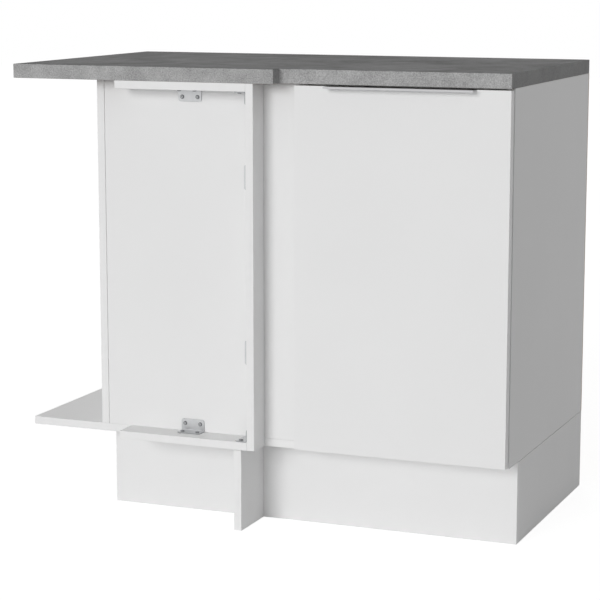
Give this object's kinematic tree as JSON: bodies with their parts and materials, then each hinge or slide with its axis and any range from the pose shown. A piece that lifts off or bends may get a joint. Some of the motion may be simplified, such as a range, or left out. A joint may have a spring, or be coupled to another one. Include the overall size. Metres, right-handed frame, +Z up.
{
  "type": "corner base cabinet",
  "caption": "Kitchen corner base cabinet: white board carcass with hinged door, fixed blind panel, bracketed corner filler, recessed plinth on levelling feet and stepped concrete-look worktop.",
  "frame": {"origin": "on the floor, under the middle of the whole object's box", "axes": "+X to the right along the worktop, +Y from the door to the wall behind, +Z up"},
  "size_m": [1.026, 0.6, 0.912],
  "materials": {
    "white_board": "white melamine-faced chipboard, satin, edges banded in the same white",
    "concrete_laminate": "chipboard with a matt grey concrete-look laminate on top, front and ends",
    "hardboard": "thin hardboard with a white lacquered inner face",
    "zinc_steel": "bright zinc plating on pressed or turned steel",
    "anodised_aluminium": "satin anodised extrusion",
    "nickel_steel": "nickel-plated pressed steel",
    "black_plastic": "black moulded plastic with a fine grain",
    "white_plastic": "white moulded plastic",
    "beech": "fluted beech dowel rod",
    "clear_rubber": "clear soft self-adhesive buffer"
  },
  "bodies": {
    "cabinet": {"back_panel": "hardboard", "back_pins": "zinc_steel", "blind_panel": "white_board", "bottom_corner_bracket": "zinc_steel", "bottom_panel": "white_board", "bottom_rail_bracket": "zinc_steel", "bracket_screws": "zinc_steel", "cam_bolts": "zinc_steel", "cam_locks": "zinc_steel", "corner_post": "white_board", "dowels": "beech", "filler_bottom_rail": "white_board", "filler_top_rail": "white_board", "foot_screws": "zinc_steel", "front_left_socket": "black_plastic", "front_middle_socket": "black_plastic", "front_plinth": "white_board", "front_right_socket": "black_plastic", "front_stretcher": "white_board", "hinge_plate_screws": "zinc_steel", "left_side_panel": "white_board", "lower_hinge_arm": "nickel_steel", "lower_hinge_plate": "nickel_steel", "lower_post_bracket": "zinc_steel", "plinth_clips": "white_plastic", "plinth_corner_block": "white_plastic", "plinth_return": "white_board", "plinth_screws": "zinc_steel", "rear_left_socket": "black_plastic", "rear_middle_socket": "black_plastic", "rear_right_socket": "black_plastic", "rear_stretcher": "white_board", "right_side_panel": "white_board", "shelf": "white_board", "shelf_pins": "zinc_steel", "side_plinth": "white_board", "top_corner_bracket": "zinc_steel", "top_rail_bracket": "zinc_steel", "upper_hinge_arm": "nickel_steel", "upper_hinge_plate": "nickel_steel", "upper_post_bracket": "zinc_steel", "worktop": "concrete_laminate", "worktop_screws": "zinc_steel"},
    "door": {"door": "white_board", "handle": "anodised_aluminium", "handle_screws": "zinc_steel", "door_bumpers": "clear_rubber", "upper_hinge_cup": "nickel_steel", "lower_hinge_cup": "nickel_steel", "hinge_pins": "nickel_steel", "hinge_cup_screws": "zinc_steel"},
    "front_right_leg": {"front_right_leg": "black_plastic"},
    "front_middle_leg": {"front_middle_leg": "black_plastic"},
    "front_left_leg": {"front_left_leg": "black_plastic"},
    "rear_right_leg": {"rear_right_leg": "black_plastic"},
    "rear_middle_leg": {"rear_middle_leg": "black_plastic"},
    "rear_left_leg": {"rear_left_leg": "black_plastic"}
  },
  "joints": [
    {"name": "door_swing", "type": "hinge", "parent": "cabinet", "child": "door", "pos_m": [0.504, -0.262, 0.5], "axis": [0, 0, 1], "range_deg": [0, 105]},
    {"name": "front_right_foot_adjust", "type": "slide", "parent": "cabinet", "child": "front_right_leg", "axis": [0, 0, -1], "range_m": [0, 0.025]},
    {"name": "front_middle_foot_adjust", "type": "slide", "parent": "cabinet", "child": "front_middle_leg", "axis": [0, 0, -1], "range_m": [0, 0.025]},
    {"name": "front_left_foot_adjust", "type": "slide", "parent": "cabinet", "child": "front_left_leg", "axis": [0, 0, -1], "range_m": [0, 0.025]},
    {"name": "rear_right_foot_adjust", "type": "slide", "parent": "cabinet", "child": "rear_right_leg", "axis": [0, 0, -1], "range_m": [0, 0.025]},
    {"name": "rear_middle_foot_adjust", "type": "slide", "parent": "cabinet", "child": "rear_middle_leg", "axis": [0, 0, -1], "range_m": [0, 0.025]},
    {"name": "rear_left_foot_adjust", "type": "slide", "parent": "cabinet", "child": "rear_left_leg", "axis": [0, 0, -1], "range_m": [0, 0.025]}
  ]
}
